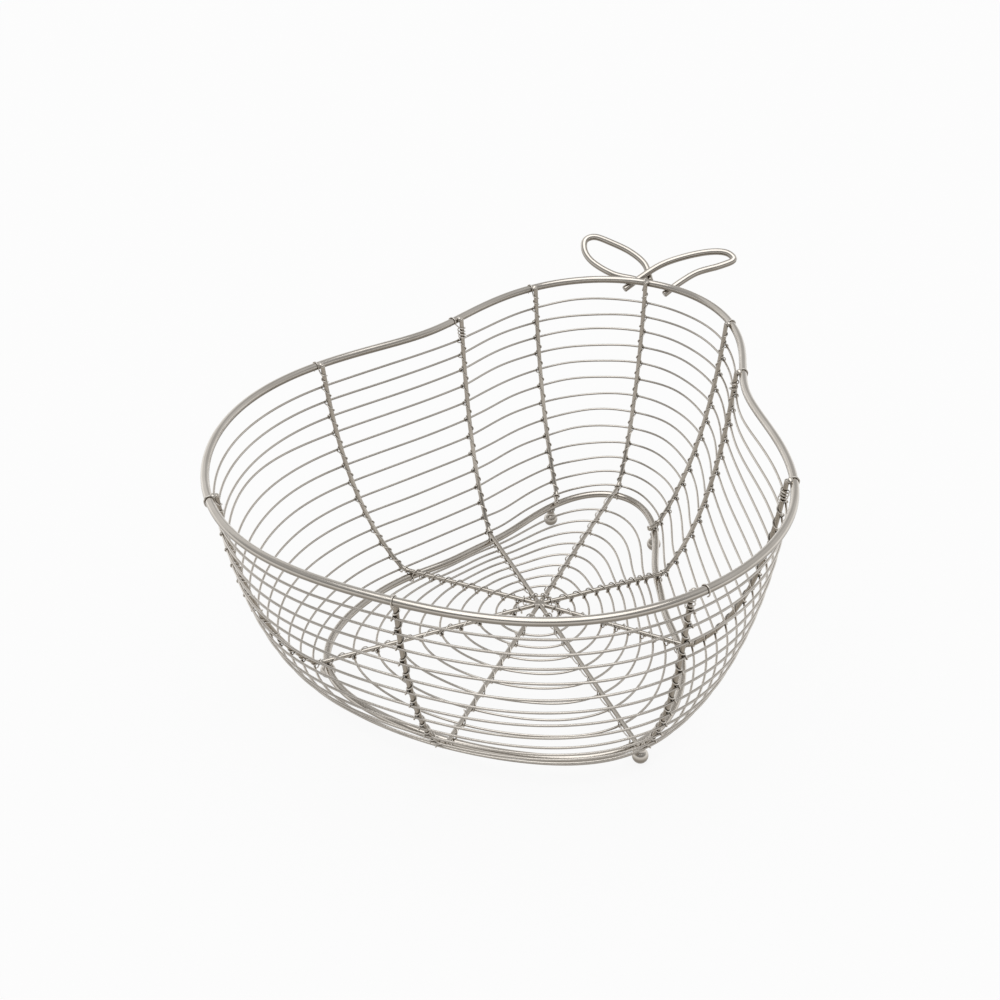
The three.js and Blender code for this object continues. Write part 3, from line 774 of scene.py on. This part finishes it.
def binding_path(name, rib):
    spacing, near = 0.8, 0.6
    turn_step, least_parts, least_run = 24, 8, 0.3
    tie_points, loop_points, end_points, end_start = 15, 11, 18, 0.06
    points, outs = rib_path(rib, spacing)
    points, outs = points[::-1], outs[::-1]
    lengths = np.concatenate([[0], np.cumsum(np.linalg.norm(np.diff(points, axis=0), axis=1))])
    wind = seat(RIB_WIRE, BINDING_WIRE, WINDING_GAP)

    def frame_at(length):
        """The rib's middle at a length from the rim, its direction, the side of the rings and the way across."""
        point, out, ahead, behind = (
            np.array([np.interp(where, lengths, values[:, k]) for k in range(3)])
            for where, values in ((length, points), (length, outs), (length + near, points), (length - near, points))
        )
        along = unit(ahead - behind)
        out = unit(out - along * out.dot(along))
        return point, along, out, np.cross(along, out)

    def wound(length, swing, away=0.0):
        point, _, out, across = frame_at(length)
        return point + (wind + away) * (out * math.cos(swing) + across * math.sin(swing))

    # Where it holds a ring: length from the rim, side, core and distance of the core
    angle = math.radians(rib[1])
    floor_end = HUB_END if rib[3] else float(floor_reach(angle)) - SHORT_RIB_TAIL
    stations = []
    for t in RING_STEPS:
        nearest = np.argmin(np.linalg.norm(points - wall_point(rib_angle(rib, t), t), axis=1))
        stations.append((lengths[nearest], rib[2], RING_WIRE, RING_SEAT))
    base_place = lengths[-1] - (float(base_reach(angle)) - floor_end)
    stations.append((base_place, rib[3] or rib[2], BASE_WIRE, BASE_SEAT))
    if rib[3]:
        for ring in range(FLOOR_RINGS):
            reach = float(floor_ring_reach(ring, angle)) - FLOOR_RING_SHIFT * math.cos(angle)
            stations.append((lengths[-1] - (reach - floor_end), rib[3], RING_WIRE, RING_SEAT))

    # Over the rim, from a free end under it to the inside
    path = []
    rim_angle = math.radians(rib[0])
    outward = wall_normal(rim_angle, 1.0)
    outward = unit(outward - UP * outward[2])
    rim_hold = seat(RIM_WIRE, BINDING_WIRE, WINDING_GAP)
    offset = OTHER_TIES.get(name, TIE_OFFSET)
    for share in np.linspace(0, 1, tie_points):
        turn = math.radians(TIE_START + TIE_SWEEP * share)
        reach = rim_hold + TIE_STAND_OFF * max(0.0, 1 - TIE_CLOSING * share)
        middle = along_rim(rim_angle, -(offset + TIE_LEAN * (1 - share)))
        path.append(middle + outward * reach * math.cos(turn) + UP * reach * math.sin(turn))

    # Down the rib: round it to the edge where the next ring lies, and over that ring
    length, swing = WINDING_START, math.radians(-90)
    extra = CLOSE_TURNS.get(name, 1)
    mean, uneven, waves = CLOSE_STAND_OFF
    slack, slack_spread = FLOOR_STAND_OFF
    for place, side, core, core_seat in stations:
        on_floor = place > base_place
        straight = on_floor and name in THROUGH_ARMS
        hold = seat(core, BINDING_WIRE, WINDING_GAP)
        edge = math.radians(90 * side)
        spin = (side * (edge - swing)) % (2 * math.pi)
        if spin < math.radians(LEAST_TURN) and not straight:
            spin += 2 * math.pi
        spin = side * (spin + 2 * math.pi * extra)
        arrive = max(place - hold * RING_ROOM, length + least_run)
        parts = max(least_parts, int(abs(spin) / math.radians(turn_step)))
        for share in np.linspace(0, 1, parts + 1):
            turned_by = share if extra or straight else np.interp(share, (0, FIRST_HALF_SHARE, 1), (0, 0.5, 1))
            away = 0.0
            if extra > 1:
                away = mean + uneven * math.sin(waves * share * extra + len(name))
            elif straight:
                away = THROUGH_STAND_OFF * math.sin(math.pi * share) ** 0.5
            elif on_floor:
                away = slack * math.exp(-((turned_by - 0.5) / slack_spread) ** 2)
            path.append(wound(length + (arrive - length) * share, swing + spin * turned_by, away))
        extra = 0
        swing = edge
        point, along, out, across = frame_at(place)
        for share in np.linspace(0, 1, loop_points):
            turn = math.radians(LOOP_START + LOOP_SWEEP * share)
            beside = side * (wind - LOOP_LEAN + LOOP_LEAN * share)
            path.append(point + across * beside + out * (core_seat + hold * math.cos(turn))
                        + along * hold * math.sin(turn))
        length = place + hold * RING_ROOM
    end = min(length + FREE_END, lengths[-1] - FREE_END_MARGIN)
    curl, stand_off = LONG_END if rib[3] else SHORT_END
    for share in np.linspace(end_start, 1, end_points):
        turn = swing - side * math.radians(curl) * share
        path.append(wound(length + (end - length) * share, turn, stand_off * share))
    return np.array(path)


for name, rib in RIBS.items():
    path = resample(clean(binding_path(name, rib), BINDING_LEAST), BINDING_SPACING)
    piece = tube(f"binding_{name}_wire", path, BINDING_WIRE / 2, BINDING_SIDES, bevel=BINDING_BEVEL)
    settle(piece, BINDING, "binding_nickel", f"binding_{name}")


# Leaves, and the weld that holds the ribs together at the hub

def leaf_points(outline_points, below):
    """Points of a leaf in its sloping plane, which passes a set distance below the rim at the stem."""
    slope = math.radians(LEAF_SLOPE)
    up_slope = np.array([0, math.cos(slope), math.sin(slope)])
    square = np.array([0, math.sin(slope), -math.cos(slope)])
    origin = rim_point(math.radians(LEAF_ROOT))
    origin = np.array([0, origin[1], origin[2]]) + square * below
    return np.array([origin + up_slope * up + np.array([across, 0, 0]) for across, up in outline_points])


for node, shape, below in (
    ("leaf_right", RIGHT_LEAF, LEAF_SEAT),
    ("leaf_left", LEFT_LEAF, LEAF_SEAT + LEAF_CROSSING),
):
    points = resample(leaf_points(shape, below), LEAF_SPACING)
    settle(tube(f"{node}_wire", points, LEAF_WIRE / 2, LEAF_SIDES, bevel=CUT_BEVEL), THICK, "thick_nickel", node)
settle(nugget("hub_weld", HUB_WELD_MIDDLE, HUB_WELD, HUB_WELD_SEED), THICK, "thick_nickel")


# Floor: plain pale paper. It shows white with a faint shadow, to the camera and in the metal.

FLOOR_HALF = 4.0
FLOOR_DROP = 0.0002
PAPER_ROUGHNESS = 0.9
PAPER_SPECULAR = 0.1
PAPER_DARKEST = (0.90, 0.90, 0.90)
PAPER_PALEST = (0.93, 0.93, 0.93)
GRAIN_SCALE = 900.0
GRAIN_DETAIL = 2.0
SHOWN_WHITE = 0.9

floor_mesh = bpy.data.meshes.new("floor")
corners = [(FLOOR_HALF * x, FLOOR_HALF * y, 0) for x, y in ((-1, -1), (1, -1), (1, 1), (-1, 1))]
floor_mesh.from_pydata(corners, [], [(0, 1, 2, 3)])
floor = bpy.data.objects.new("floor", floor_mesh)
bpy.context.scene.collection.objects.link(floor)
floor.location.z = -FLOOR_DROP
paper = bpy.data.materials.new("floor_paper")
paper.use_nodes = True
paper_nodes, paper_links = paper.node_tree.nodes, paper.node_tree.links
paper_shader = paper_nodes["Principled BSDF"]
paper_shader.inputs["Roughness"].default_value = PAPER_ROUGHNESS
paper_shader.inputs["Specular IOR Level"].default_value = PAPER_SPECULAR
spot = paper_nodes.new("ShaderNodeTexCoord")
grain = noise(paper.node_tree, spot.outputs["Object"], GRAIN_SCALE, GRAIN_DETAIL)
shade = colour_ramp(paper.node_tree, grain, (0.0, PAPER_DARKEST), (1.0, PAPER_PALEST))
paper_links.new(shade, paper_shader.inputs["Base Color"])
white = paper_nodes.new("ShaderNodeEmission")
white.inputs["Strength"].default_value = 1.0
rays = paper_nodes.new("ShaderNodeLightPath")
seen = paper_nodes.new("ShaderNodeMath")
seen.operation = "MAXIMUM"
paper_links.new(rays.outputs["Is Camera Ray"], seen.inputs[0])
paper_links.new(rays.outputs["Is Glossy Ray"], seen.inputs[1])
share_white = paper_nodes.new("ShaderNodeMath")
share_white.operation = "MULTIPLY"
share_white.inputs[1].default_value = SHOWN_WHITE
paper_links.new(seen.outputs["Value"], share_white.inputs[0])
sheet = paper_nodes.new("ShaderNodeMixShader")
paper_links.new(share_white.outputs["Value"], sheet.inputs["Fac"])
paper_links.new(paper_shader.outputs["BSDF"], sheet.inputs[1])
paper_links.new(white.outputs["Emission"], sheet.inputs[2])
paper_links.new(sheet.outputs["Shader"], paper_nodes["Material Output"].inputs["Surface"])
floor_mesh.materials.append(paper)


def sun(name, strength, spread, azimuth, elevation):
    """A soft light from far away. Angles are in degrees, and the azimuth runs from the stem to the right."""
    lamp = bpy.data.lights.new(name, "SUN")
    lamp.energy = strength
    lamp.angle = math.radians(spread)
    holder = bpy.data.objects.new(name, lamp)
    bpy.context.scene.collection.objects.link(holder)
    a, e = math.radians(azimuth), math.radians(elevation)
    source = Vector((math.sin(a) * math.cos(e), math.cos(a) * math.cos(e), math.sin(e)))
    holder.rotation_euler = source.to_track_quat("Z", "Y").to_euler()


sun("overhead_light", strength=1.1, spread=64, azimuth=158, elevation=80)
sun("left_light", strength=0.2, spread=60, azimuth=-60, elevation=20)
sun("right_light", strength=0.1, spread=60, azimuth=40, elevation=32)

# Surroundings: a pale horizon, a lit room behind the basket and a dim one behind the camera. The ranges say where one
# level goes over into the next, towards the camera and upwards.
TO_CAMERA = (0.370, -0.929, 0.0)
HORIZON_LEVEL = 0.95
BACK_LEVEL = 0.54
FRONT_LEVEL = 0.22
ZENITH_LEVEL = 0.45
BACK_TO_FRONT = (-0.7, 0.8)
HORIZON_TO_ROOM = (0.04, 0.3)
ROOM_TO_ZENITH = (0.3, 0.9)

world = bpy.data.worlds.new("studio")
bpy.context.scene.world = world
world.use_nodes = True
sky_nodes, sky_links = world.node_tree.nodes, world.node_tree.links
backdrop = sky_nodes["Background"]
direction = sky_nodes.new("ShaderNodeTexCoord")
split = sky_nodes.new("ShaderNodeSeparateXYZ")
sky_links.new(direction.outputs["Generated"], split.inputs["Vector"])
facing = sky_nodes.new("ShaderNodeVectorMath")
facing.operation = "DOT_PRODUCT"
facing.inputs[1].default_value = TO_CAMERA
sky_links.new(direction.outputs["Generated"], facing.inputs[0])
round_level = map_range(world.node_tree, facing.outputs["Value"], *BACK_TO_FRONT, BACK_LEVEL, FRONT_LEVEL)
above_horizon = sky_nodes.new("ShaderNodeMix")
above_horizon.data_type = "FLOAT"
off_horizon = map_range(world.node_tree, split.outputs["Z"], *HORIZON_TO_ROOM, shape="SMOOTHSTEP")
sky_links.new(off_horizon, above_horizon.inputs[0])
above_horizon.inputs[2].default_value = HORIZON_LEVEL
sky_links.new(round_level, above_horizon.inputs[3])
level = sky_nodes.new("ShaderNodeMix")
level.data_type = "FLOAT"
overhead = map_range(world.node_tree, split.outputs["Z"], *ROOM_TO_ZENITH, shape="SMOOTHSTEP")
sky_links.new(overhead, level.inputs[0])
sky_links.new(above_horizon.outputs[0], level.inputs[2])
level.inputs[3].default_value = ZENITH_LEVEL
sky_links.new(level.outputs[0], backdrop.inputs["Color"])

# The camera that took the photograph, as solved from it: its place is from the hub, in millimetres
CAMERA_PLACE = np.array([244.6, -613.9, 479.1])
CAMERA_FORWARD = Vector((-0.3249, 0.7832, -0.5302))
CAMERA_RIGHT = Vector((0.9237, 0.3832, 0.0015))
SENSOR_WIDTH = 36.0
FOCAL_LENGTH = 55.175
LENS_SHIFT = (-0.02192, -0.00133)

lens = bpy.data.cameras.new("photo_camera")
lens.sensor_width = SENSOR_WIDTH
lens.lens = FOCAL_LENGTH
lens.shift_x, lens.shift_y = LENS_SHIFT
camera = bpy.data.objects.new("photo_camera", lens)
bpy.context.scene.collection.objects.link(camera)
forward = CAMERA_FORWARD.normalized()
right = CAMERA_RIGHT.normalized()
up = right.cross(forward).normalized()
right = forward.cross(up)
where = (CAMERA_PLACE + SHIFT) * MM
camera.matrix_world = Matrix((
    (right.x, up.x, -forward.x, where[0]),
    (right.y, up.y, -forward.y, where[1]),
    (right.z, up.z, -forward.z, where[2]),
    (0, 0, 0, 1),
))
bpy.context.scene.camera = camera
bpy.context.scene.view_settings.view_transform = "Standard"
